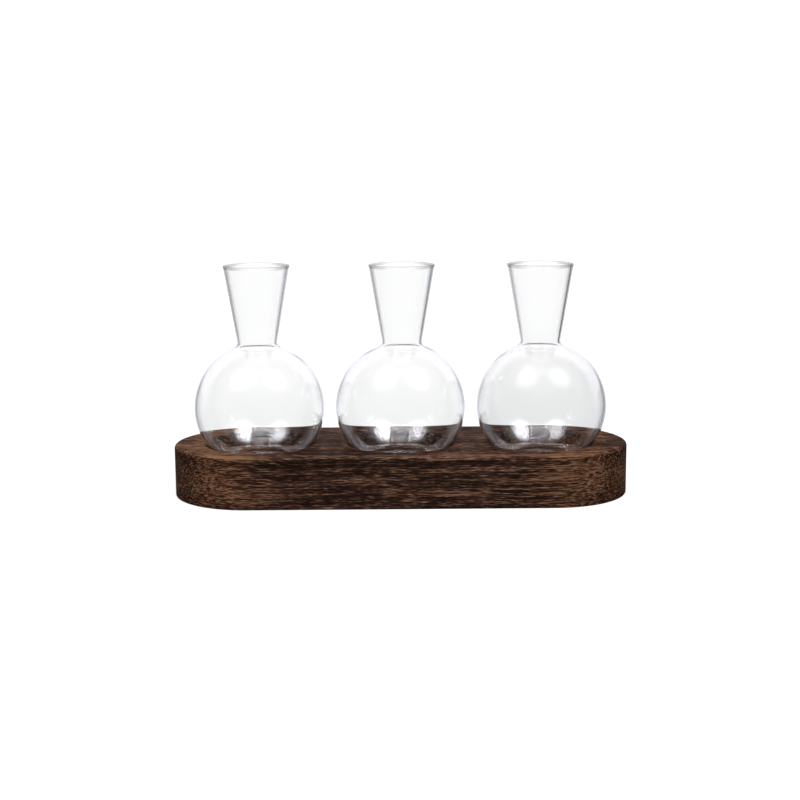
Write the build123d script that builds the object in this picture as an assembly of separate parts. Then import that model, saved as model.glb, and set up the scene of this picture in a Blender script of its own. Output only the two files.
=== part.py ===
"""Propagation vase: a row of blown glass bulb vases standing in a wooden stand with round ends.

The frame: X runs along the stand, Y across it and Z up. The origin is the middle of the stand's
underside. Each vase is one piece of glass, with its foot on the floor of its own round seat, and
lifts straight out. Lengths are millimetres.
"""

from build123d import *

import math
import os

# The row of vases, from the left end of the stand to the right.
vase_names = ("vase_left", "vase_middle", "vase_right")
bulb_gap = 7.0

# The blown glass. The bulb's centre is measured up from the plane that the foot stands on.
bulb_radius = 40.0
bulb_centre_height = 32.0
glass_wall = 1.4
glass_floor = 2.2

# The foot: a heel that turns in under the bulb, a flat ring to stand on and a hollow inside it.
heel_radius = 6.0
foot_ring_width = 2.6
foot_ring_edge_radius = 8.0
foot_hollow_height = 1.6

# The neck flares from its waist, level with the bulb's top, to the mouth. Both are outside radii.
waist_radius = 12.1
mouth_radius = 20.3
vase_height = 120.0
shoulder_radius = 3.2
lip_bead_radius = 0.95

# The wooden stand, and the wood that is left beside the seats and past the end ones.
stand_thickness = 31.5
stand_side_land = 13.5
stand_end_land = 18.3
stand_top_edge_radius = 2.0
stand_bottom_edge_radius = 0.8

# The round seat that each vase is dropped into.
seat_depth = 10.0
seat_clearance = 1.3
seat_lip_radius = 0.8

# How far a cut runs past what it cuts.
cut_overrun = 5.0

# What follows from the sizes above.
vase_pitch = 2 * bulb_radius + bulb_gap
bulb_top_height = bulb_centre_height + bulb_radius
flare_rate = (mouth_radius - waist_radius) / (vase_height - bulb_top_height)
foot_radius = math.sqrt((bulb_radius - heel_radius) ** 2 - (bulb_centre_height - heel_radius) ** 2)
foot_hollow_reach = foot_radius - foot_ring_width
bulb_radius_at_stand_top = math.sqrt(bulb_radius**2 - (bulb_centre_height - seat_depth) ** 2)
seat_radius = bulb_radius_at_stand_top + seat_clearance
seat_floor_height = stand_thickness - seat_depth
stand_width = 2 * (seat_radius + stand_side_land)
stand_length = (len(vase_names) - 1) * vase_pitch + 2 * (seat_radius + stand_end_land)


def vase_axes():
    """The X of each vase's axis, by the vase's name."""
    first_x = -(len(vase_names) - 1) * vase_pitch / 2
    return {name: first_x + index * vase_pitch for index, name in enumerate(vase_names)}


def flare_radius(height, inset):
    """The radius of the flared neck at a height, set in square to its outer face."""
    outer_radius = waist_radius + flare_rate * (height - bulb_top_height)
    return outer_radius - inset * math.hypot(1, flare_rate)


def neck_profile(inset):
    """Half of the flared neck, from inside the bulb to past the mouth."""
    low = bulb_top_height - waist_radius
    high = vase_height + cut_overrun
    corners = (
        (0, low),
        (flare_radius(low, inset), low),
        (flare_radius(high, inset), high),
        (0, high),
    )
    return Polygon(*corners, align=None)


def bulb_profile(inset, floor_height):
    """Half of the bulb, cut off at its floor, which rises in a shallow dome at the middle."""
    reach = bulb_radius + cut_overrun
    whole_bulb = Pos(0, bulb_centre_height) * Circle(bulb_radius - inset)
    other_half = Pos(0, bulb_centre_height) * Rectangle(
        reach, 2 * reach, align=(Align.MAX, Align.CENTER)
    )
    below_floor = Pos(0, floor_height) * Rectangle(
        2 * reach, reach, align=(Align.CENTER, Align.MAX)
    )
    dome_radius = (foot_hollow_reach**2 + foot_hollow_height**2) / (2 * foot_hollow_height)
    dome = Pos(0, floor_height + foot_hollow_height - dome_radius) * Circle(dome_radius)
    return whole_bulb - other_half - below_floor - dome


def floor_corners(profile):
    """The two corners of a profile on its floor, the one nearer to the axis first."""
    return profile.vertices().sort_by(Axis.Y)[:2].sort_by(Axis.X)


def vase_profile(inset, floor_height):
    """Half of the section of a vase, as if it were solid, set in from its outer face.

    Outside, the inset is zero and the floor is the plane that the foot stands on. Inside, the
    inset is the glass wall and the floor is the top of the glass floor.
    """
    profile = neck_profile(inset) + bulb_profile(inset, floor_height)
    profile = fillet(floor_corners(profile)[1], heel_radius - inset)
    profile = fillet(floor_corners(profile)[0], foot_ring_edge_radius)
    above_bulb_centre = profile.vertices().filter_by_position(
        Axis.Y, bulb_centre_height, vase_height
    )
    return fillet(above_bulb_centre.sort_by(Axis.Y)[-1], shoulder_radius + inset)


def make_vase():
    """One vase, its foot at Z zero and its axis on Z: the section of its wall, revolved."""
    bead_height = vase_height - lip_bead_radius
    above_bead = Pos(0, bead_height) * Rectangle(
        2 * bulb_radius, lip_bead_radius + 2 * cut_overrun, align=(Align.CENTER, Align.MIN)
    )
    bead = Pos(flare_radius(bead_height, glass_wall / 2), bead_height) * Circle(lip_bead_radius)
    wall = vase_profile(0, 0) - vase_profile(glass_wall, glass_floor) - above_bead + bead
    return revolve(Plane.XZ * wall, Axis.Z)


def make_stand():
    """The block with full round ends, eased edges and a flat-floored seat for each vase."""
    stand = extrude(SlotOverall(stand_length, stand_width), stand_thickness)
    stand = fillet(stand.edges().group_by(Axis.Z)[-1], stand_top_edge_radius)
    stand = fillet(stand.edges().group_by(Axis.Z)[0], stand_bottom_edge_radius)
    seat_cut = Cylinder(
        seat_radius, seat_depth + cut_overrun, align=(Align.CENTER, Align.CENTER, Align.MIN)
    )
    for x in vase_axes().values():
        stand -= Pos(x, 0, seat_floor_height) * seat_cut
    seat_rings = [edge for edge in stand.edges().filter_by(GeomType.CIRCLE) if edge.is_closed]
    seat_lips = ShapeList(seat_rings).group_by(Axis.Z)[-1]
    return fillet(seat_lips, seat_lip_radius)


def main():
    """Builds every piece in its place and writes one STEP file for each."""
    os.makedirs("parts", exist_ok=True)
    export_step(make_stand(), "parts/stand.step")
    vase = make_vase()
    for name, x in vase_axes().items():
        export_step(Pos(x, 0, seat_floor_height) * vase, f"parts/{name}.step")
    print("stand", stand_length, "by", stand_width, "by", stand_thickness)
    print("height with the vases", seat_floor_height + vase_height)


main()
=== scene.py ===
"""Dresses the propagation vase: blown glass bulb vases in a dark, open-grained wooden stand.

The frame: X runs along the stand, Y from front to back and Z up, in metres, with the origin at
the middle of the stand's underside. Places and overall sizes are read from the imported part, and
the other sizes are fields of the classes below.
"""

import logging
import math
from dataclasses import dataclass
from enum import Enum
from functools import cached_property
from typing import ClassVar

import bmesh
import bpy
from mathutils import Matrix, Vector, noise

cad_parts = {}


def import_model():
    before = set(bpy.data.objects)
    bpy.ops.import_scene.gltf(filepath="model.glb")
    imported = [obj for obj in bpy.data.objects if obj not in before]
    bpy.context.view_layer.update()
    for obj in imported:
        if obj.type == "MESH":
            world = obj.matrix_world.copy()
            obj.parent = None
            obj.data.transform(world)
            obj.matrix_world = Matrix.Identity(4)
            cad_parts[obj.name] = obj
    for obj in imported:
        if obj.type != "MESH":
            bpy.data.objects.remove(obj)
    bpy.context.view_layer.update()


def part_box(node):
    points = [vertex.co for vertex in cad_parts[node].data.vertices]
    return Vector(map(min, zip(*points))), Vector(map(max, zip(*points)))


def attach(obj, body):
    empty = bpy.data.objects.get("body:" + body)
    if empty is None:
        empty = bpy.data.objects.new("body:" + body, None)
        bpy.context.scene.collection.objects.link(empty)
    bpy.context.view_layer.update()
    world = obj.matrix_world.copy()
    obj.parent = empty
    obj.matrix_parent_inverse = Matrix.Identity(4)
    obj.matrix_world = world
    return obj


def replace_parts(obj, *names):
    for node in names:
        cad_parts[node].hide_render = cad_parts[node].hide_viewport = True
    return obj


log = logging.getLogger("propagation_vase")

FULL_TURN = 2 * math.pi
UP = Vector((0, 0, 1))
WHITE = (1.0, 1.0, 1.0)
NOISE_MIDDLE = 0.5

Colour = tuple[float, float, float]
Point = tuple[float, float, float]
Socket = bpy.types.NodeSocket

# A ramp's positions with their colours, lowest first.
Stops = tuple[tuple[float, Colour], ...]

# Where a step starts and where it is full. A falling step has the higher value first.
Span = tuple[float, float]

# Where a band starts, where it is full, where it leaves full and where it ends.
Band = tuple[float, float, float, float]


class Slot(Enum):
    """Names for two material slots. Nothing in this script uses them."""

    WOOD = "dark_wood"
    GLASS = "clear_glass"


class Signal:
    """A number that varies from point to point: a socket, with arithmetic that adds Math nodes."""

    def __init__(self, graph: "Graph", socket: Socket) -> None:
        """Keeps the socket and the graph that its sums are added to."""
        self.graph = graph
        self.socket = socket

    def _math(self, operation: str, *values: "Signal | float") -> "Signal":
        """Adds one Math node.

        Args:
            operation: The Math node's operation.
            values: What its sockets take, in order.

        Returns:
            The node's result.
        """
        node = self.graph.node("ShaderNodeMath", {"operation": operation}, dict(enumerate(values)))
        return Signal(self.graph, node.outputs[0])

    def __add__(self, other: "Signal | float") -> "Signal":
        """This number plus another."""
        return self._math("ADD", self, other)

    __radd__ = __add__

    def __sub__(self, other: "Signal | float") -> "Signal":
        """This number less another."""
        return self._math("SUBTRACT", self, other)

    def __rsub__(self, other: float) -> "Signal":
        """A plain number less this one."""
        return self._math("SUBTRACT", other, self)

    def __mul__(self, other: "Signal | float") -> "Signal":
        """This number times another."""
        return self._math("MULTIPLY", self, other)

    __rmul__ = __mul__

    def __truediv__(self, other: "Signal | float") -> "Signal":
        """This number over another."""
        return self._math("DIVIDE", self, other)

    def most(self, other: "Signal | float") -> "Signal":
        """The larger of this number and another."""
        return self._math("MAXIMUM", self, other)

    def fraction(self) -> "Signal":
        """What is left of this number above the whole number below it."""
        return self._math("FRACT", self)

    def size(self) -> "Signal":
        """This number without its sign."""
        return self._math("ABSOLUTE", self)

    def centred(self) -> "Signal":
        """This number, which lies about one half, moved to lie about 0."""
        return self - NOISE_MIDDLE

    def rise(self, low: float, high: float) -> "Signal":
        """A smooth step of this number.

        Args:
            low: Where the step starts, at 0.
            high: Where it ends, at 1. It may be under low, and the step then falls.

        Returns:
            The step, from 0 to 1.
        """
        settings = {"interpolation_type": "SMOOTHSTEP"}
        sockets = {"Value": self, "From Min": low, "From Max": high}
        node = self.graph.node("ShaderNodeMapRange", settings, sockets)
        return Signal(self.graph, node.outputs["Result"])

    def band(self, start: float, full: float, last: float, end: float) -> "Signal":
        """A smooth band of this number.

        Args:
            start: Where the band starts, at 0.
            full: Where it reaches 1.
            last: Where it leaves 1.
            end: Where it is 0 again.

        Returns:
            The band, from 0 to 1.
        """
        return self.rise(start, full) * self.rise(end, last)


class Graph:
    """The nodes of one material, or of the world, built from Python."""

    # How often a ray was mirrored is a whole number, so this step parts 0 from 1 and more.
    unmirrored: ClassVar[Span] = (0.6, 0.4)

    def __init__(self, tree: bpy.types.NodeTree) -> None:
        """Starts from an empty tree."""
        self.tree = tree
        tree.nodes.clear()

    def node(
        self,
        kind: str,
        settings: dict[str, object] | None = None,
        sockets: dict[str | int, object] | None = None,
    ) -> bpy.types.Node:
        """Adds one node.

        Args:
            kind: The node's type.
            settings: Its own settings by name, set first. The name stops is a ramp's stops, as
                (position, colour) pairs.
            sockets: What its input sockets take, by name or by number: a Signal, a socket to
                link, or a plain value.

        Returns:
            The node.
        """
        node = self.tree.nodes.new(kind)
        for name, value in (settings or {}).items():
            if name == "stops":
                self._set_stops(node.color_ramp, value)
            else:
                setattr(node, name, value)
        for name, value in (sockets or {}).items():
            self.feed(node.inputs[name], value)
        return node

    def feed(self, target: Socket, value: object) -> None:
        """Links a signal or a socket to an input, or sets the input's plain value.

        Args:
            target: The input socket.
            value: A Signal, a socket, a number, or a colour or vector as a tuple.
        """
        if isinstance(value, Signal):
            self.tree.links.new(value.socket, target)
        elif isinstance(value, Socket):
            self.tree.links.new(value, target)
        elif isinstance(value, tuple) and target.type == "RGBA":
            target.default_value = (*value, 1.0)
        else:
            target.default_value = value

    @staticmethod
    def _set_stops(ramp: bpy.types.ColorRamp, stops: Stops) -> None:
        """Gives a ramp its stops.

        Args:
            ramp: The ramp, with the two stops that it starts with.
            stops: The stops that it gets.
        """
        for element, (position, colour) in zip(ramp.elements, (stops[0], stops[-1])):
            element.position = position
            element.color = (*colour, 1.0)
        for position, colour in stops[1:-1]:
            ramp.elements.new(position).color = (*colour, 1.0)

    def object_point(self) -> Socket:
        """The point on the surface, in the object's own coordinates."""
        return self.node("ShaderNodeTexCoord").outputs["Object"]

    def direction(self) -> Socket:
        """The way that a ray leaves the scene. It is for the world alone."""
        return self.node("ShaderNodeTexCoord").outputs["Generated"]

    def moved(self, point: Socket, offset: Point = (0, 0, 0), scale: Point = (1, 1, 1)) -> Socket:
        """A point, scaled and then moved.

        Args:
            point: The point.
            offset: How far it moves.
            scale: How much it is scaled first, along each axis.

        Returns:
            The new point.
        """
        sockets = {"Vector": point, "Location": offset, "Scale": scale}
        return self.node("ShaderNodeMapping", {}, sockets).outputs["Vector"]

    def vector_sum(self, operation: str, first: object, second: object) -> bpy.types.NodeOutputs:
        """The outputs of one Vector Math node on two vectors."""
        settings = {"operation": operation}
        return self.node("ShaderNodeVectorMath", settings, {0: first, 1: second}).outputs

    def dot(self, first: Socket, second: Point) -> Signal:
        """The dot product of two vectors."""
        return Signal(self, self.vector_sum("DOT_PRODUCT", first, second)["Value"])

    def length(self, vector: Socket) -> Signal:
        """The length of a vector."""
        return Signal(self, self.vector_sum("LENGTH", vector, (0, 0, 0))["Value"])

    def bent(self, point: Socket, at: Socket, scale: float, reach: Point) -> Socket:
        """A point, moved a little by soft noise, so that no line through it is quite straight.

        Args:
            point: The point.
            at: Where the noise is read.
            scale: How many bumps the noise has to a unit.
            reach: How far the noise moves the point along each axis, from end to end.

        Returns:
            The new point.
        """
        soft = self.node("ShaderNodeTexNoise", {}, {"Vector": at, "Scale": scale})
        middle = (NOISE_MIDDLE, NOISE_MIDDLE, NOISE_MIDDLE)
        centred = self.vector_sum("SUBTRACT", soft.outputs["Color"], middle)["Vector"]
        shift = self.vector_sum("MULTIPLY", centred, reach)["Vector"]
        return self.vector_sum("ADD", point, shift)["Vector"]

    def noise(self, point: Socket, detail: float = 2.0, roughness: float = 0.5) -> Signal:
        """Soft noise about one half, with one bump to a unit.

        Args:
            point: Where it is read.
            detail: How many finer layers it has.
            roughness: How strong each finer layer is beside the one before.

        Returns:
            The noise, from 0 to 1.
        """
        sockets = {"Vector": point, "Scale": 1.0, "Detail": detail, "Roughness": roughness}
        return Signal(self, self.node("ShaderNodeTexNoise", {}, sockets).outputs["Fac"])

    def ramp(self, value: Signal, stops: Stops) -> Socket:
        """The colour that a number picks from a row of stops."""
        return self.node("ShaderNodeValToRGB", {"stops": stops}, {"Fac": value}).outputs["Color"]

    def mix(self, share: Signal | float, first: object, second: object, how: str = "MIX") -> Socket:
        """Two colours mixed.

        Args:
            share: How much of the second is used, from 0 to 1.
            first: A colour, or a socket that holds one.
            second: The same.
            how: The Mix node's blend type.

        Returns:
            The mixed colour.
        """
        settings = {"data_type": "RGBA", "blend_type": how}
        return self.node("ShaderNodeMix", settings, {0: share, 6: first, 7: second}).outputs[2]

    def blend(self, share: Signal, first: bpy.types.Node, second: bpy.types.Node) -> Socket:
        """Two shaders mixed.

        Args:
            share: How much of the second is used, from 0 to 1.
            first: The first shader's node.
            second: The second's.

        Returns:
            The mixed shader.
        """
        sockets = {0: share, 1: first.outputs[0], 2: second.outputs[0]}
        return self.node("ShaderNodeMixShader", {}, sockets).outputs[0]

    def parts(self, point: Socket) -> tuple[Signal, Signal, Signal]:
        """The three coordinates of a point."""
        outputs = self.node("ShaderNodeSeparateXYZ", {}, {0: point}).outputs
        return Signal(self, outputs[0]), Signal(self, outputs[1]), Signal(self, outputs[2])

    def light_path(self, name: str) -> Signal:
        """One of the Light Path node's facts about the ray."""
        return Signal(self, self.node("ShaderNodeLightPath").outputs[name])

    def never_mirrored(self) -> Signal:
        """1 for a ray that nothing has mirrored on its way from the camera, and 0 for the rest."""
        return self.light_path("Glossy Depth").rise(*self.unmirrored)

    def bump(self, height: Signal, distance: float) -> Socket:
        """A normal that follows a height.

        Args:
            height: The height, in shares of the distance. It may be under 0.
            distance: How far a height of 1 stands up, in metres.

        Returns:
            The normal.
        """
        sockets = {"Height": height, "Distance": distance, "Strength": 1.0}
        return self.node("ShaderNodeBump", {}, sockets).outputs["Normal"]


def new_material(name: str) -> tuple[bpy.types.Material, Graph, Socket]:
    """Makes an empty material.

    Args:
        name: The material's name.

    Returns:
        The material, its graph and the socket that its surface shader goes to.
    """
    material = bpy.data.materials.new(name)
    material.use_nodes = True
    graph = Graph(material.node_tree)
    return material, graph, graph.node("ShaderNodeOutputMaterial").inputs["Surface"]


@dataclass(frozen=True)
class Grain:
    """One layer of the wood's grain: noise drawn out along X.

    Attributes:
        length: How long one bump of it is.
        thickness: How thick one bump is. The wood's flatness says how much wider it is.
        seed: A number that makes it unlike the other layers.
    """

    length: float
    thickness: float
    seed: float


@dataclass(frozen=True)
class StainedWood:
    """A dark stain over coarse, open-grained wood whose grain runs along X.

    The tone of the stain runs from 0, the darkest, to 1, the palest. A weight is how much one
    thing adds to the tone or takes from it. Spans and bands are of the stand's own coordinates,
    unless they are said to be of something else.
    """

    # The layers of the grain. A sharp tick or pore is a peak of the noise.
    fibres: Grain = Grain(0.050, 0.00075, 0.0)
    ticks: Grain = Grain(0.0058, 0.00048, 5.0)
    pores: Grain = Grain(0.010, 0.0007, 9.0)
    flatness: float = 2.2
    grain_detail: float = 1.5
    grain_roughness: float = 0.6
    sharp: Span = (0.52, 0.66)
    bend_scale: Point = (11, 26, 26)
    bend: Point = (0.0, 0.006, 0.006)

    # The growth rings about the pith, each one a band of the share of its width.
    pith: Point = (0.0, 0.030, -0.085)
    ring_width: float = 0.0052
    ring: Band = (0.0, 0.75, 0.86, 1.0)

    # Soft patches of tone, and of a greener stain.
    patch_detail: float = 1.0
    cloud_offset: Point = (1, 2, 3)
    cloud_scale: Point = (8, 50, 50)
    green_offset: Point = (9, 4, 1)
    green_scale: Point = (14, 120, 120)
    green_patches: Span = (0.42, 0.72)
    green_share: float = 0.5
    green: Colour = (0.72, 0.90, 0.72)

    # Towards both ends, where the round ends turn to the lamps, a painted highlight makes the wood
    # paler and warmer, and painted shade darkens the very ends, which turn away from them. From
    # left to right it grows a little paler.
    painted_end_highlight: Span = (0.066, 0.100)
    painted_end_shade: Span = (0.112, 0.139)
    end_highlight_warmth: Colour = (1.0, 0.92, 0.79)
    left_to_right: Span = (-0.14, 0.14)

    # The side has a dark band under its upper edge, and darker painted shade at its foot, where it
    # meets the floor.
    dark_band: Band = (0.0235, 0.0285, 0.0290, 0.0312)
    painted_foot_shade: Span = (0.0090, 0.0015)
    painted_foot_shade_share: float = 1.3

    # Painted shade makes the flat top darker than the side. It is paler along its front edge and at
    # its left end.
    top: Span = (0.0305, 0.0312)
    top_front: Span = (-0.036, -0.042)
    top_left: Span = (-0.080, -0.125)

    # The tone where nothing adds to it, and the weights.
    middle_tone: float = 0.36
    fibre_weight: float = 2.5
    tick_weight: float = 2.0
    sharp_tick_weight: float = 0.28
    ring_weight: float = 0.14
    cloud_weight: float = 0.9
    painted_end_highlight_weight: float = 0.25
    painted_end_shade_weight: float = 0.34
    pore_weight: float = 0.16
    dark_weight: float = 0.12
    left_to_right_weight: float = 0.14
    top_painted_shade_weight: float = 0.12
    top_front_weight: float = 0.42
    top_left_weight: float = 0.42

    stain: Stops = (
        (0.00, (0.0170, 0.0083, 0.0068)),
        (0.25, (0.0355, 0.0165, 0.0122)),
        (0.50, (0.0730, 0.0335, 0.0228)),
        (0.75, (0.1400, 0.0675, 0.0430)),
        (1.00, (0.2600, 0.1480, 0.0980)),
    )

    # How the surface takes the light, and how far the grain stands up from it.
    gloss: float = 0.02
    roughness: float = 0.66
    fibre_roughness: float = 0.3
    pore_roughness: float = 0.1
    relief: float = 0.00016
    fibre_relief: float = 0.6
    tick_relief: float = 0.4
    ring_relief: float = 0.15
    pore_relief: float = 0.5

    def material(self) -> bpy.types.Material:
        """Makes the wood's material.

        Returns:
            The material.
        """
        material, graph, surface = new_material("stained_open_grain_wood")
        place = graph.object_point()
        point = graph.bent(place, graph.moved(place, scale=self.bend_scale), 1.0, self.bend)
        rings = self._rings(graph, point)
        fibres = self._layer(graph, point, self.fibres)
        ticks = self._layer(graph, point, self.ticks)
        pores = self._layer(graph, point, self.pores).rise(*self.sharp)
        along, across, height = graph.parts(place)
        # pale: where the painted highlight makes both ends paler and warmer.
        pale = along.size().rise(*self.painted_end_highlight)
        tone = self.middle_tone + fibres.centred() * self.fibre_weight
        tone = tone + ticks.centred() * self.tick_weight
        tone = tone + ticks.rise(*self.sharp) * self.sharp_tick_weight
        tone = tone + rings.centred() * self.ring_weight
        clouds = self._patches(graph, point, self.cloud_offset, self.cloud_scale)
        tone = tone + clouds.centred() * self.cloud_weight
        # Painted highlight towards both ends, and painted shade at the very ends.
        tone = tone + pale * self.painted_end_highlight_weight
        tone = tone - along.size().rise(*self.painted_end_shade) * self.painted_end_shade_weight
        # The side's dark band under its upper edge, and the painted shade at its foot.
        tone = tone - pores * self.pore_weight - self._dark_band_and_foot_shade(height) * self.dark_weight
        tone = tone + along.rise(*self.left_to_right).centred() * self.left_to_right_weight
        # The flat top's painted shade, and its paler front edge and left end.
        tone = tone + height.rise(*self.top) * self._top_tone(along, across)
        greener = self._patches(graph, point, self.green_offset, self.green_scale)
        greener = greener.rise(*self.green_patches) * self.green_share
        colour = graph.mix(greener, graph.ramp(tone, self.stain), self.green, "MULTIPLY")
        # The painted highlight also warms the colour towards both ends.
        colour = graph.mix(pale, colour, self.end_highlight_warmth, "MULTIPLY")
        relief = fibres * self.fibre_relief + ticks * self.tick_relief
        relief = relief + rings * self.ring_relief - pores * self.pore_relief
        roughness = self.roughness + fibres.centred() * self.fibre_roughness
        shader = graph.node(
            "ShaderNodeBsdfPrincipled",
            {},
            {
                "Base Color": colour,
                "Roughness": roughness + pores * self.pore_roughness,
                "Specular IOR Level": self.gloss,
                "Normal": graph.bump(relief, self.relief),
            },
        )
        graph.feed(surface, shader.outputs["BSDF"])
        return material

    def _rings(self, graph: Graph, point: Socket) -> Signal:
        """The growth rings, slow to darken and quick to lighten.

        Args:
            graph: The material's nodes.
            point: Where they are read.

        Returns:
            The rings, from 0 to 1.
        """
        from_pith = graph.moved(point, tuple(-value for value in self.pith), (0, 1, 1))
        share = (graph.length(from_pith) / self.ring_width).fraction()
        return share.band(*self.ring)

    def _layer(self, graph: Graph, point: Socket, grain: Grain) -> Signal:
        """One layer of the grain.

        Args:
            graph: The material's nodes.
            point: Where it is read.
            grain: The layer's size.

        Returns:
            The layer, from 0 to 1.
        """
        width = self.flatness * grain.thickness
        scale = (1 / grain.length, 1 / width, 1 / grain.thickness)
        place = graph.moved(point, (grain.seed, grain.seed, grain.seed), scale)
        return graph.noise(place, self.grain_detail, self.grain_roughness)

    def _patches(self, graph: Graph, point: Socket, offset: Point, scale: Point) -> Signal:
        """Soft patches, from 0 to 1, drawn out along the grain."""
        return graph.noise(graph.moved(point, offset, scale), self.patch_detail)

    def _dark_band_and_foot_shade(self, height: Signal) -> Signal:
        """How dark the side is at a height: a dark band under its upper edge, and painted shade at
        its foot.
        """
        return height.band(*self.dark_band) + height.rise(*self.painted_foot_shade) * self.painted_foot_shade_share

    def _top_tone(self, along: Signal, across: Signal) -> Signal:
        """How much paler the flat top is than the side, less its painted shade, at a place along it
        and across it.
        """
        tone = across.rise(*self.top_front) * self.top_front_weight - self.top_painted_shade_weight
        return tone + along.rise(*self.top_left) * self.top_left_weight


@dataclass(frozen=True)
class ClearGlass:
    """Clear blown glass, darkened by painted shade where it is seen aslant and low in the bulb.

    Heights are above the stand's underside. How aslant the glass is seen runs from 0, square on,
    to 1, edge on.
    """

    name: str = "clear_blown_glass"
    index: float = 1.47
    tint: Colour = (0.996, 0.998, 0.998)

    # Painted shade low in the bulb, the greyer look that the dark wood gives it, from one height
    # down to another, with a cloudy border between.
    low_painted_shade: Colour = (0.952, 0.956, 0.956)
    low_height: float = 0.045
    high_height: float = 0.085
    cloud_scale: Point = (60, 60, 60)
    cloud_detail: float = 1.0
    cloud_reach: float = 0.02

    # Painted shade where the glass is seen aslant and the wall is upright: the dark outline of its
    # sides. This span is of how far the glass faces up or down.
    edge_painted_shade: Colour = (0.91, 0.92, 0.92)
    edge_aslant: Span = (0.42, 0.85)
    upright: Span = (0.78, 0.45)

    # Painted shade where the glass is seen aslant on the neck and on the lip: dark outlines on the
    # neck and dark lip ends.
    neck_painted_shade: Colour = (0.76, 0.76, 0.76)
    neck_aslant: Span = (0.40, 0.70)
    neck_height: Span = (0.096, 0.102)
    lip_painted_shade: Colour = (0.50, 0.50, 0.50)
    lip_aslant: Span = (0.00, 0.38)
    lip_height: Span = (0.1392, 0.1402)

    # How much of the lamps' light each face of the glass lets through, by colour.
    shade: Colour = (0.93, 0.94, 0.94)

    def material(self) -> bpy.types.Material:
        """Makes the glass's material. Light from the lamps passes through it.

        Returns:
            The material.
        """
        material, graph, surface = new_material(self.name)
        coordinates = graph.node("ShaderNodeTexCoord").outputs
        height = graph.parts(coordinates["Object"])[2]
        on_neck = height.rise(*self.neck_height)
        on_lip = height.rise(*self.lip_height)
        cloud_place = graph.moved(coordinates["Object"], scale=self.cloud_scale)
        cloud = graph.noise(cloud_place, self.cloud_detail).centred() * self.cloud_reach
        # low: where the painted shade low in the bulb lies.
        low = (height + cloud).rise(self.high_height, self.low_height)
        upright = graph.parts(coordinates["Normal"])[2].size().rise(*self.upright).most(on_neck)
        # Painted shade: the glass is darkened where it is seen aslant, on the upright wall, on the
        # neck and on the lip.
        aslant = Signal(graph, graph.node("ShaderNodeLayerWeight").outputs["Facing"])
        painted_edge_shade = aslant.rise(*self.edge_aslant) * upright
        colour = graph.mix(low, self.tint, self.low_painted_shade)
        colour = graph.mix(painted_edge_shade, colour, self.edge_painted_shade, "MULTIPLY")
        on_neck = aslant.rise(*self.neck_aslant) * on_neck
        colour = graph.mix(on_neck, colour, self.neck_painted_shade, "MULTIPLY")
        on_lip = aslant.rise(*self.lip_aslant) * on_lip
        colour = graph.mix(on_lip, colour, self.lip_painted_shade, "MULTIPLY")
        glass = graph.node(
            "ShaderNodeBsdfPrincipled",
            {},
            {
                "Base Color": colour,
                "Roughness": 0.0,
                "IOR": self.index,
                "Transmission Weight": 1.0,
            },
        )
        clear = graph.node("ShaderNodeBsdfTransparent", {}, {"Color": self.shade})
        graph.feed(surface, graph.blend(graph.light_path("Is Shadow Ray"), glass, clear))
        return material


@dataclass(frozen=True)
class StudioFloor:
    """A plain pale floor that is white to the eye, seen straight or through clear glass.

    Everything else passes through it: the light of the lamps and the air, what the glass mirrors,
    and the eye from below, so that the object's underside can be seen.
    """

    paint: Colour = (0.32, 0.32, 0.32)
    glow: float = 0.82

    def material(self) -> bpy.types.Material:
        """Makes the floor's material.

        Returns:
            The material.
        """
        material, graph, surface = new_material("pale_studio_floor")
        diffuse = graph.node("ShaderNodeBsdfDiffuse", {}, {"Color": self.paint})
        glow = graph.node("ShaderNodeEmission", {}, {"Color": WHITE, "Strength": self.glow})
        lit = graph.node("ShaderNodeAddShader", {}, {0: diffuse.outputs[0], 1: glow.outputs[0]})
        clear = graph.node("ShaderNodeBsdfTransparent")
        through = graph.light_path("Is Transmission Ray") * graph.never_mirrored()
        seen = graph.light_path("Is Camera Ray").most(through)
        below = Signal(graph, graph.node("ShaderNodeNewGeometry").outputs["Backfacing"])
        graph.feed(surface, graph.blend(seen * (1 - below), clear, lit))
        return material


class Pen:
    """Draws one open chain of edges in the XZ plane, by extruding and spinning its tip."""

    longest_edge: ClassVar[float] = 0.001
    widest_turn: ClassVar[float] = math.radians(9)

    def __init__(self, mesh: bmesh.types.BMesh, radius: float, height: float) -> None:
        """Puts the tip at its start.

        Args:
            mesh: The mesh that is drawn in.
            radius: The start's distance from the Z axis.
            height: Its height.
        """
        self.mesh = mesh
        self.tip = mesh.verts.new((radius, 0, height))

    def line_to(self, radius: float, height: float) -> None:
        """Draws a straight line from the tip, in short edges.

        Args:
            radius: The line's end, as its distance from the Z axis.
            height: The end's height.
        """
        start = self.tip.co.copy()
        way = Vector((radius, 0, height)) - start
        steps = math.ceil(way.length / self.longest_edge)
        for step in range(1, steps + 1):
            self.tip = bmesh.ops.extrude_vert_indiv(self.mesh, verts=[self.tip])["verts"][0]
            self.tip.co = start + way * (step / steps)

    def arc(self, radius: float, height: float, turn: float) -> None:
        """Draws an arc from the tip.

        Args:
            radius: The arc's centre, as its distance from the Z axis.
            height: The centre's height.
            turn: How far it turns, in radians, more than 0 if from X towards Z.
        """
        centre = Vector((radius, 0, height))
        reach = (self.tip.co - centre).length * abs(turn)
        steps = math.ceil(max(reach / self.longest_edge, abs(turn) / self.widest_turn))
        spun = bmesh.ops.spin(
            self.mesh, geom=[self.tip], cent=centre, axis=(0, -1, 0), angle=turn, steps=steps
        )
        self.tip = next(item for item in spun["geom_last"] if isinstance(item, bmesh.types.BMVert))


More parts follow.
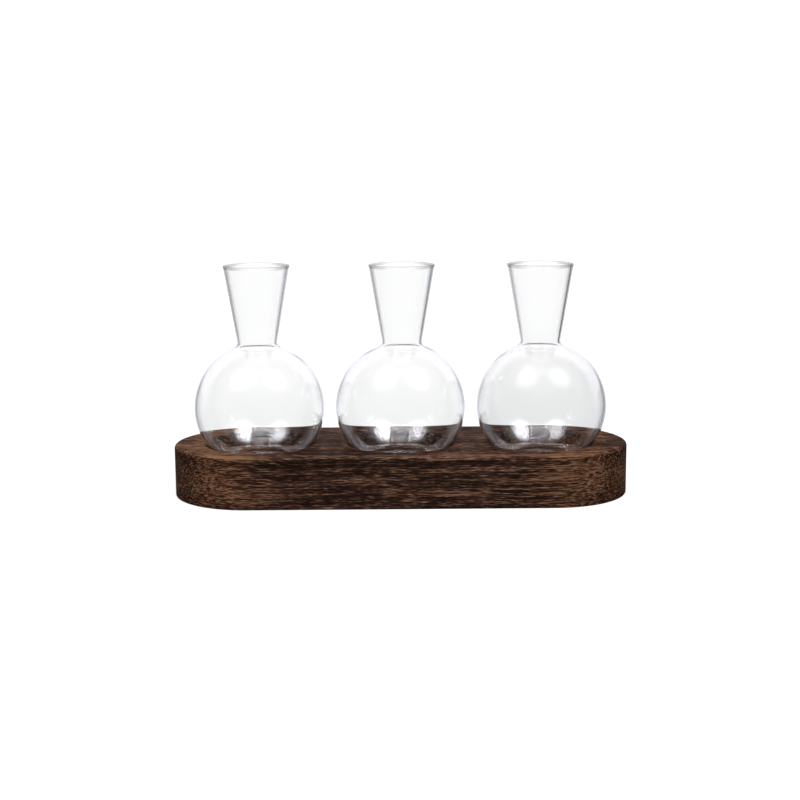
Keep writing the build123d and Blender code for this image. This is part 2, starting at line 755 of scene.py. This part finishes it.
def revolve(mesh: bmesh.types.BMesh, sides: int, weld: float) -> None:
    """Spins every edge of a mesh once round the Z axis and closes the seam and the poles.

    Args:
        mesh: The mesh, which holds only edges in the XZ plane.
        sides: How many steps the turn has.
        weld: How near two points are to be one.
    """
    bmesh.ops.remove_doubles(mesh, verts=mesh.verts, dist=weld)
    bmesh.ops.spin(
        mesh,
        geom=[*mesh.verts, *mesh.edges],
        cent=(0, 0, 0),
        axis=UP,
        angle=FULL_TURN,
        steps=sides,
        use_merge=True,
    )
    bmesh.ops.remove_doubles(mesh, verts=mesh.verts, dist=weld)


def make_piece(
    mesh: bmesh.types.BMesh, name: str, body: str, material: bpy.types.Material
) -> bpy.types.Object:
    """Turns a finished bmesh into a piece of the object.

    Args:
        mesh: The mesh, in its place. It is freed.
        name: The piece's name.
        body: The body that it rides on.
        material: What it is made of.

    Returns:
        The piece.
    """
    bmesh.ops.recalc_face_normals(mesh, faces=mesh.faces)
    data = bpy.data.meshes.new(name)
    mesh.to_mesh(data)
    mesh.free()
    data.materials.append(material)
    piece = bpy.data.objects.new(name, data)
    bpy.context.scene.collection.objects.link(piece)
    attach(piece, body)
    log.info("%s: %d faces, on %s", name, len(data.polygons), body)
    return piece


def smooth_share(share: float) -> float:
    """A share from 0 to 1, eased at both ends."""
    share = min(max(share, 0.0), 1.0)
    return share * share * (3 - 2 * share)


@dataclass
class BulbVase:
    """One blown vase: a round bulb with a flat foot and a flared neck with a polished lip.

    Heights are measured from the plane that the foot stands on. The two shifts are how far the
    blower left the neck off the bulb's axis. The weld is how near two points are to be one.
    """

    node: str
    body: str
    material: bpy.types.Material
    waist_shift: float = 0.0
    mouth_shift: float = 0.0
    bulb_radius: float = 0.040
    bulb_centre: float = 0.032
    wall: float = 0.0014
    floor: float = 0.0022
    heel_radius: float = 0.006
    foot_ring_width: float = 0.0026
    foot_ring_edge: float = 0.008
    foot_hollow: float = 0.0016
    waist_radius: float = 0.0121
    mouth_radius: float = 0.0203
    shoulder_radius: float = 0.0032
    lip_radius: float = 0.00085
    sides: int = 144
    weld: float = 0.000002
    stand_off: float = 0.00005
    wobble: float = 0.00012
    wobble_scale: float = 34.0

    @cached_property
    def height(self) -> float:
        """How tall the vase is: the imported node's height, less what it stands off its seat."""
        low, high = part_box(self.node)
        return high.z - low.z - self.stand_off

    @property
    def bulb_top(self) -> float:
        """The height of the top of the bulb's sphere, where the waist is."""
        return self.bulb_centre + self.bulb_radius

    @property
    def flare(self) -> float:
        """The angle that the neck's wall leans out from upright."""
        return math.atan2(self.mouth_radius - self.waist_radius, self.height - self.bulb_top)

    @property
    def shoulder_angle(self) -> float:
        """The angle at the bulb's centre from the axis to the centre of the shoulder's arc.

        The arc touches the bulb and the neck from outside, so its centre is one shoulder radius
        from each.

        Returns:
            The angle, in radians.
        """
        reach = self.bulb_radius + self.shoulder_radius
        waist = self.waist_radius * math.cos(self.flare) - self.bulb_radius * math.sin(self.flare)
        return math.asin((self.shoulder_radius + waist) / reach) + self.flare

    def build(self) -> bpy.types.Object:
        """Makes the vase and puts it in its seat.

        Returns:
            The piece.
        """
        mesh = bmesh.new()
        outside = self._draw_side(mesh, 0.0, 0.0)
        self._draw_side(mesh, self.wall, self.floor)
        self._draw_lip(outside)
        revolve(mesh, self.sides, self.weld)
        low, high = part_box(self.node)
        place = Vector(((low.x + high.x) / 2, (low.y + high.y) / 2, low.z + self.stand_off))
        for vertex in mesh.verts:
            vertex.co = self._blown(vertex.co, place)
        bmesh.ops.translate(mesh, verts=mesh.verts, vec=place)
        for face in mesh.faces:
            face.smooth = True
        piece = make_piece(mesh, f"{self.node}_glass", self.body, self.material)
        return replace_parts(piece, self.node)

    def _draw_side(self, mesh: bmesh.types.BMesh, inset: float, floor: float) -> Pen:
        """Draws one side of the glass in section, from the axis at the foot up to the lip.

        Args:
            mesh: The mesh to draw in.
            inset: How far the side is in from the outer one.
            floor: How high its floor is.

        Returns:
            The pen, with its tip where the lip starts.
        """
        bulb = self.bulb_radius - inset
        heel = self.heel_radius - inset
        heel_height = floor + heel
        heel_reach = math.sqrt((bulb - heel) ** 2 - (self.bulb_centre - heel_height) ** 2)
        heel_angle = math.atan2(heel_height - self.bulb_centre, heel_reach)
        hollow_reach = self._foot_reach() - self.foot_ring_width
        dome = (hollow_reach**2 + self.foot_hollow**2) / (2 * self.foot_hollow)
        dome_centre = floor + self.foot_hollow - dome
        edge_height = floor + self.foot_ring_edge
        edge_reach = math.sqrt((dome + self.foot_ring_edge) ** 2 - (edge_height - dome_centre) ** 2)
        dome_turn = math.asin(edge_reach / (dome + self.foot_ring_edge))

        pen = Pen(mesh, 0, floor + self.foot_hollow)
        pen.arc(0, dome_centre, -dome_turn)
        pen.arc(edge_reach, edge_height, dome_turn)
        pen.line_to(heel_reach, floor)
        pen.arc(heel_reach, heel_height, math.pi / 2 + heel_angle)
        pen.arc(0, self.bulb_centre, math.pi / 2 - self.shoulder_angle - heel_angle)
        shoulder_reach = self.bulb_radius + self.shoulder_radius
        pen.arc(
            shoulder_reach * math.sin(self.shoulder_angle),
            self.bulb_centre + shoulder_reach * math.cos(self.shoulder_angle),
            self.shoulder_angle - self.flare - math.pi / 2,
        )
        lip = self._lip_centre()
        across = self.wall / 2 - inset
        below = self._lip_drop()
        pen.line_to(
            lip.x + across * math.cos(self.flare) - below * math.sin(self.flare),
            lip.z - across * math.sin(self.flare) - below * math.cos(self.flare),
        )
        return pen

    def _draw_lip(self, pen: Pen) -> None:
        """Draws the lip's bead from the outer side's tip over to the inner side's.

        Args:
            pen: The outer side's pen.
        """
        lip = self._lip_centre()
        left_open = 2 * math.atan2(self.wall / 2, self._lip_drop())
        pen.arc(lip.x, lip.z, FULL_TURN - left_open)

    def _foot_reach(self) -> float:
        """The outer radius of the flat ring that the vase stands on."""
        from_centre = self.bulb_radius - self.heel_radius
        return math.sqrt(from_centre**2 - (self.bulb_centre - self.heel_radius) ** 2)

    def _lip_centre(self) -> Vector:
        """Finds the centre of the lip's bead in section, halfway through the wall.

        Returns:
            The centre, in the XZ plane.
        """
        height = self.height - self.lip_radius
        outer = self.waist_radius + (height - self.bulb_top) * math.tan(self.flare)
        return Vector((outer - self.wall / 2 / math.cos(self.flare), 0, height))

    def _lip_drop(self) -> float:
        """How far under the bead's centre, along the wall, the wall runs into it."""
        return math.sqrt(self.lip_radius**2 - (self.wall / 2) ** 2)

    def _blown(self, point: Vector, place: Vector) -> Vector:
        """Where a point of the true shape ends up on blown glass.

        Args:
            point: The point, from the middle of the foot.
            place: Where the vase stands, so that no two vases are alike.

        Returns:
            The point, moved with its neck and a little in or out.
        """
        bulb_middle = Vector((0, 0, self.bulb_centre))
        low = self.bulb_centre + self.bulb_radius / 2
        onto_neck = smooth_share((point.z - low) / (self.bulb_top - low))
        up_neck = max(0.0, (point.z - self.bulb_top) / (self.height - self.bulb_top))
        shift = self.waist_shift * onto_neck + (self.mouth_shift - self.waist_shift) * up_neck
        outward = point - bulb_middle
        clear_of_foot = smooth_share(point.z / self.heel_radius)
        clear_of_lip = smooth_share((self.height - point.z) / self.heel_radius)
        swell = noise.noise((outward.normalized() * self.bulb_radius + place) * self.wobble_scale)
        swell *= self.wobble * clear_of_foot * clear_of_lip
        away = Vector((outward.x, outward.y, 0)).normalized()
        return point + Vector((shift, 0, 0)) + away * swell


@dataclass
class WoodenStand:
    """The block with full round ends, eased edges and a round seat for each vase.

    The side land is the wood beside a seat. The flat tilt is how far a face that is shaded flat
    may lean, in radians.
    """

    node: str
    body: str
    material: bpy.types.Material
    seat_nodes: tuple[str, ...]
    side_land: float = 0.0143
    top_edge: float = 0.0020
    bottom_edge: float = 0.0008
    seat_lip: float = 0.0008
    edge_segments: int = 8
    sides: int = 144
    weld: float = 0.000002
    flat_tilt: float = 0.000002

    def build(self) -> bpy.types.Object:
        """Makes the stand.

        Returns:
            The piece.
        """
        low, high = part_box(self.node)
        mesh = bmesh.new()
        self._add_block(mesh, low, high)
        cap = max(mesh.faces, key=lambda face: face.calc_center_median().z)
        rim = list(cap.edges)
        bmesh.ops.delete(mesh, geom=[cap], context="FACES_ONLY")
        for seat in self.seat_nodes:
            rim += self._add_seat(mesh, seat, (high.y - low.y) / 2 - self.side_land, high.z)
        bmesh.ops.triangle_fill(mesh, edges=rim, use_beauty=True, normal=UP)
        self._shade(mesh)
        piece = make_piece(mesh, f"{self.node}_wood", self.body, self.material)
        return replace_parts(piece, self.node)

    def _add_block(self, mesh: bmesh.types.BMesh, low: Vector, high: Vector) -> None:
        """Adds the block without its seats.

        Args:
            mesh: The mesh to add it to.
            low: The block's lowest corner.
            high: Its highest corner.
        """
        end_radius = (high.y - low.y) / 2
        outline = []
        for end in (high.x - end_radius, low.x + end_radius):
            start = mesh.verts.new((end, -math.copysign(end_radius, end), low.z))
            outline.append(start)
            spun = bmesh.ops.spin(
                mesh, geom=[start], cent=(end, 0, low.z), axis=UP, angle=math.pi, steps=self.sides
            )
            outline += [item for item in spun["geom_last"] if isinstance(item, bmesh.types.BMVert)]
        mesh.edges.new((outline[1], outline[2]))
        mesh.edges.new((outline[3], outline[0]))
        floor = bmesh.ops.contextual_create(mesh, geom=list(mesh.edges))["faces"]
        raised = bmesh.ops.extrude_face_region(mesh, geom=floor)["geom"]
        moved = [item for item in raised if isinstance(item, bmesh.types.BMVert)]
        bmesh.ops.translate(mesh, verts=moved, vec=(0, 0, high.z - low.z))
        for height, radius in ((low.z, self.bottom_edge), (high.z, self.top_edge)):
            edges = [
                edge
                for edge in mesh.edges
                if all(abs(vertex.co.z - height) < self.weld for vertex in edge.verts)
            ]
            bmesh.ops.bevel(
                mesh,
                geom=edges,
                offset=radius,
                offset_type="OFFSET",
                affect="EDGES",
                segments=self.edge_segments,
                profile=0.5,
                material=-1,
            )

    def _add_seat(
        self, mesh: bmesh.types.BMesh, seat: str, radius: float, top: float
    ) -> list[bmesh.types.BMEdge]:
        """Adds one seat, open at the top.

        Args:
            mesh: The mesh to add it to.
            seat: The node of the vase that stands in it.
            radius: The seat's radius.
            top: The height of the stand's top.

        Returns:
            The edges of its opening.
        """
        low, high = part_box(seat)
        cup = bmesh.new()
        pen = Pen(cup, 0, low.z)
        pen.line_to(radius, low.z)
        pen.line_to(radius, top - self.seat_lip)
        pen.arc(radius + self.seat_lip, top - self.seat_lip, -math.pi / 2)
        revolve(cup, self.sides, self.weld)
        bmesh.ops.translate(cup, verts=cup.verts, vec=((low.x + high.x) / 2, 0, 0))
        loose = bpy.data.meshes.new(f"{seat}_seat")
        cup.to_mesh(loose)
        cup.free()
        known = set(mesh.edges)
        mesh.from_mesh(loose)
        bpy.data.meshes.remove(loose)
        return [edge for edge in mesh.edges if edge not in known and edge.is_boundary]

    def _shade(self, mesh: bmesh.types.BMesh) -> None:
        """Shades the round faces smooth, and keeps a crisp line where they meet a flat one.

        Args:
            mesh: The stand's mesh.
        """
        mesh.normal_update()
        for face in mesh.faces:
            face.smooth = abs(face.normal.z) < math.cos(self.flat_tilt)
        for edge in mesh.edges:
            edge.smooth = len({face.smooth for face in edge.link_faces}) == 1


@dataclass(frozen=True)
class MirroredStudio:
    """What the glass mirrors, painted by the way that a ray leaves.

    The three parts of a way are aside, back and up, each from -1 to 1. Spans and bands are of
    those parts, unless they are said to be of something else. A light of 1 is a plain white.
    """

    # The two lamps. The reach of their glare is an angle, in radians.
    lamp_ways: tuple[Point, Point]
    lamp_glare: float = 20.0
    lamp_reach: float = 0.57

    # A dim room with a pale wall at its back.
    room_light: float = 0.05
    wall: Span = (0.15, 0.65)

    # On a bulb's near face: a little of the lamps, and a faint light overhead and underneath.
    near_glare: float = 0.10
    overhead: Span = (0.3, 0.8)
    overhead_light: float = 0.25
    underneath: Span = (-0.35, -0.60)
    underneath_light: float = 0.1

    # On a near face the wall is darker past both ends, the more so on the right, and has a dark
    # mark in each half. The sides of the glass bend that darkness into their outlines.
    flank_aside: Span = (0.10, 0.55)
    flank_back: Span = (0.35, 0.60)
    flank_up: Band = (-0.9, -0.6, 0.0, 0.15)
    flank_dark: float = 0.6
    right_flank: Span = (0.50, 0.65)
    right_flank_dark: float = 0.3
    mark_aside: Band = (0.12, 0.15, 0.18, 0.21)
    mark_back: Span = (0.80, 0.90)
    mark_up: Band = (0.04, 0.08, 0.18, 0.24)
    mark_dark: float = 0.7

    # A ray that a bulb's far wall mirrored has passed more faces of glass than this on its way.
    far_wall: Span = (2.9, 3.1)

    # On a far wall: the pale wall, darker high up, brighter low down, and with a dark gap in it
    # about one way, whose reach is two angles from that way, in radians.
    high_wall: Span = (0.15, 0.38)
    high_wall_dark: float = 0.95
    wall_light: float = 0.75
    low_wall: Span = (0.0, -0.2)
    low_wall_light: float = 0.45
    gap_way: Point = (0.0, 0.980, 0.180)
    gap_reach: Span = (0.52, 0.22)
    gap_dark: float = 0.62
    darkest: float = 0.03

    # On a far wall: a pale skirt on the outer side of each lamp.
    skirt_back: Span = (0.35, 0.0)
    skirt_up: Span = (0.35, 0.6)
    right_skirt: Span = (0.35, 0.6)
    right_skirt_light: float = 0.8
    left_skirt: Span = (-0.35, -0.6)
    left_skirt_light: float = 0.4

    # On a far wall: how much of each lamp shows, and a dark bar beside the right one.
    right_lamp: Span = (0.26, 0.28)
    left_lamp: Span = (-0.16, -0.42)
    left_lamp_share: float = 0.65
    bar: Band = (0.24, 0.26, 0.28, 0.30)
    bar_dark: float = 0.75

    # On a far wall: curls of light between the lamps, each one a band of the share of its width.
    between_aside: Band = (-0.34, -0.20, 0.26, 0.28)
    between_back: Band = (-0.72, -0.60, -0.30, 0.0)
    between_up: Span = (0.2, 0.4)
    between_light: float = 1.8
    curl_light: float = 9.0
    curl_rate: float = 11.0
    curl: Band = (0.0, 0.35, 0.65, 1.0)
    curl_offset: Point = (0.0, 0.42, 0.0)
    curl_bend_scale: float = 5.0
    curl_bend: Point = (0.5, 0.5, 0.0)

    def light(self, graph: Graph) -> Signal:
        """Paints what the glass mirrors.

        Args:
            graph: The world's nodes.

        Returns:
            How bright it is each way.
        """
        way = graph.direction()
        lamps = self._lamps(graph, way)
        far = graph.light_path("Transmission Depth").rise(*self.far_wall)
        near_face = self._on_near_face(graph, way) + lamps * self.near_glare
        return near_face * (1 - far) + self._on_far_wall(graph, way, lamps) * far

    def _lamps(self, graph: Graph, way: Socket) -> Signal:
        """The glare of the lamps, which falls off softly about each one's way.

        Args:
            graph: The world's nodes.
            way: The way that the ray leaves.

        Returns:
            How bright the lamps are that way.
        """
        lamps: Signal | float = 0.0
        for lamp_way in self.lamp_ways:
            soft = graph.dot(way, lamp_way).rise(math.cos(self.lamp_reach), 1.0)
            soft = soft * soft
            lamps = soft * soft * self.lamp_glare + lamps
        return lamps

    def _on_near_face(self, graph: Graph, way: Socket) -> Signal:
        """What a bulb's near face mirrors, without the lamps.

        Args:
            graph: The world's nodes.
            way: The way that the ray leaves.

        Returns:
            How bright it is that way.
        """
        aside, back, up = graph.parts(way)
        flank = aside.size().rise(*self.flank_aside) * back.rise(*self.flank_back)
        flank = flank * up.band(*self.flank_up)
        flank = flank * (self.flank_dark + aside.rise(*self.right_flank) * self.right_flank_dark)
        mark = aside.size().band(*self.mark_aside) * back.rise(*self.mark_back)
        mark = mark * up.band(*self.mark_up) * self.mark_dark
        light = self.room_light + back.rise(*self.wall) * (1 - flank.most(mark))
        light = light + up.rise(*self.overhead) * self.overhead_light
        return light + up.rise(*self.underneath) * self.underneath_light

    def _on_far_wall(self, graph: Graph, way: Socket, lamps: Signal) -> Signal:
        """What a bulb's far wall mirrors into it.

        Args:
            graph: The world's nodes.
            way: The way that the ray leaves.
            lamps: How bright the lamps are that way.

        Returns:
            How bright it all is that way.
        """
        aside, back, up = graph.parts(way)
        gap = graph.dot(way, tuple(Vector(self.gap_way).normalized()))
        gap = gap.rise(*map(math.cos, self.gap_reach))
        wall = back.rise(*self.wall) * (1 - up.rise(*self.high_wall) * self.high_wall_dark)
        wall = wall * (self.wall_light + up.rise(*self.low_wall) * self.low_wall_light)
        room = (self.room_light + wall - gap * self.gap_dark).most(self.darkest)
        skirts = aside.rise(*self.right_skirt) * self.right_skirt_light
        skirts = skirts + aside.rise(*self.left_skirt) * self.left_skirt_light
        room = room + skirts * (back.rise(*self.skirt_back) * up.rise(*self.skirt_up))
        left_lamp = aside.rise(*self.left_lamp) * self.left_lamp_share
        lamps = lamps * aside.rise(*self.right_lamp).most(left_lamp)
        between = aside.band(*self.between_aside) * back.band(*self.between_back)
        between = between * up.rise(*self.between_up)
        between = between * (self.between_light + self._curls(graph, way) * self.curl_light)
        return (room + lamps + between) * (1 - aside.band(*self.bar) * self.bar_dark)

    def _curls(self, graph: Graph, way: Socket) -> Signal:
        """The curls: rings about one point, bent by soft noise.

        Args:
            graph: The world's nodes.
            way: The way that the ray leaves.

        Returns:
            The curls, from 0 to 1.
        """
        bent = graph.bent(way, way, self.curl_bend_scale, self.curl_bend)
        distance = graph.length(graph.moved(bent, self.curl_offset, (1, 1, 0)))
        return (distance * self.curl_rate).fraction().band(*self.curl)


@dataclass
class Studio:
    """The plain studio: a pale floor, soft lamps, the air behind them and the camera.

    Nothing here is part of the object.
    """

    floor_reach: float = 20.0
    floor_drop: float = 0.0001
    camera_place: Point = (-0.0050618, -0.9026435, 0.2171427)
    camera_pan: float = 0.0053223
    camera_pitch: float = 0.1750660
    camera_roll: float = 0.0065214
    lens: float = 66.696
    lamp_ways: tuple[Point, Point] = ((-0.425, -0.395, 0.820), (0.465, -0.370, 0.805))
    lamp_spread: float = math.radians(25)
    lamp_light: float = 1.20

    # How bright the air is to the eye and to the object, and its tint in mirrors.
    white: float = 1.16
    fill: float = 0.36
    mirror_tint: Colour = (0.95, 0.94, 1.0)

    # How often light is followed from face to face, and how bright such light may be.
    bounces: int = 40
    glass_bounces: int = 36
    mirror_bounces: int = 12
    brightest_bounce: float = 40.0

    def build(self) -> None:
        """Makes everything in the studio."""
        self._add_floor()
        self._add_lamps()
        self._add_air()
        self._add_camera()

    def _add_floor(self) -> None:
        """Adds the floor, just under the object's underside."""
        mesh = bmesh.new()
        bmesh.ops.create_grid(mesh, x_segments=1, y_segments=1, size=self.floor_reach)
        data = bpy.data.meshes.new("studio_floor")
        mesh.to_mesh(data)
        mesh.free()
        data.materials.append(StudioFloor().material())
        floor = bpy.data.objects.new("studio_floor", data)
        floor.location.z = -self.floor_drop
        bpy.context.scene.collection.objects.link(floor)

    def _add_lamps(self) -> None:
        """Adds the soft lamps. The air draws their reflections."""
        for index, way in enumerate(map(Vector, self.lamp_ways)):
            lamp = bpy.data.lights.new(f"soft_lamp_{index}", "SUN")
            lamp.angle = self.lamp_spread
            lamp.energy = self.lamp_light
            holder = bpy.data.objects.new(f"soft_lamp_{index}", lamp)
            holder.location = way
            holder.rotation_euler = way.to_track_quat("Z", "Y").to_euler()
            holder.visible_glossy = False
            holder.visible_transmission = False
            holder.visible_camera = False
            bpy.context.scene.collection.objects.link(holder)

    def _add_air(self) -> None:
        """Adds the world: white to the eye and through clear glass, and a studio in mirrors."""
        world = bpy.data.worlds.new("studio_air")
        bpy.context.scene.world = world
        world.use_nodes = True
        graph = Graph(world.node_tree)
        mirrored = MirroredStudio(self.lamp_ways).light(graph)
        through = graph.light_path("Is Transmission Ray")
        white = graph.light_path("Is Camera Ray").most(through * graph.never_mirrored())
        in_mirror = through.most(graph.light_path("Is Glossy Ray")) * (1 - white)
        light = white * self.white + in_mirror * mirrored
        light = light + (1 - white) * (1 - in_mirror) * self.fill
        tint = graph.mix(in_mirror, WHITE, self.mirror_tint)
        colour = graph.mix(1.0, light.socket, tint, "MULTIPLY")
        air = graph.node("ShaderNodeBackground", {}, {"Color": colour, "Strength": 1.0})
        output = graph.node("ShaderNodeOutputWorld")
        graph.feed(output.inputs["Surface"], air.outputs["Background"])

    def _add_camera(self) -> None:
        """Adds the camera, and sets how its picture is shown and how far light is followed."""
        scene = bpy.context.scene
        camera = bpy.data.cameras.new("studio_camera")
        camera.lens = self.lens
        holder = bpy.data.objects.new("studio_camera", camera)
        turn = Matrix.Rotation(-self.camera_pan, 4, "Z")
        turn @= Matrix.Rotation(math.pi / 2 - self.camera_pitch, 4, "X")
        turn @= Matrix.Rotation(-self.camera_roll, 4, "Z")
        holder.matrix_world = Matrix.Translation(self.camera_place) @ turn
        scene.collection.objects.link(holder)
        scene.camera = holder
        scene.view_settings.view_transform = "Standard"
        scene.cycles.sample_clamp_indirect = self.brightest_bounce
        scene.cycles.max_bounces = self.bounces
        scene.cycles.transmission_bounces = self.glass_bounces
        scene.cycles.glossy_bounces = self.mirror_bounces


def main() -> None:
    """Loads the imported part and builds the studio, the stand and the vases."""
    logging.basicConfig(format="%(message)s")
    log.setLevel(logging.INFO)
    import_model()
    Studio().build()
    glass = ClearGlass().material()
    # The right vase's glass has deeper painted shade low in its bulb, reaching higher up.
    deeper_shaded_glass = ClearGlass("blown_glass_with_deeper_painted_shade", low_painted_shade=(0.900, 0.904, 0.906), high_height=0.11)
    vases = (
        BulbVase("vase_left", "left_vase_body", glass, waist_shift=-0.0006, mouth_shift=-0.0003),
        BulbVase("vase_middle", "middle_vase_body", glass, waist_shift=0.0012, mouth_shift=0.0012),
        BulbVase(
            "vase_right",
            "right_vase_body",
            deeper_shaded_glass.material(),
            waist_shift=-0.0009,
            mouth_shift=-0.0013,
        ),
    )
    seats = tuple(vase.node for vase in vases)
    WoodenStand("stand", "stand_body", StainedWood().material(), seats).build()
    for vase in vases:
        vase.build()


if __name__ == "__main__":
    main()
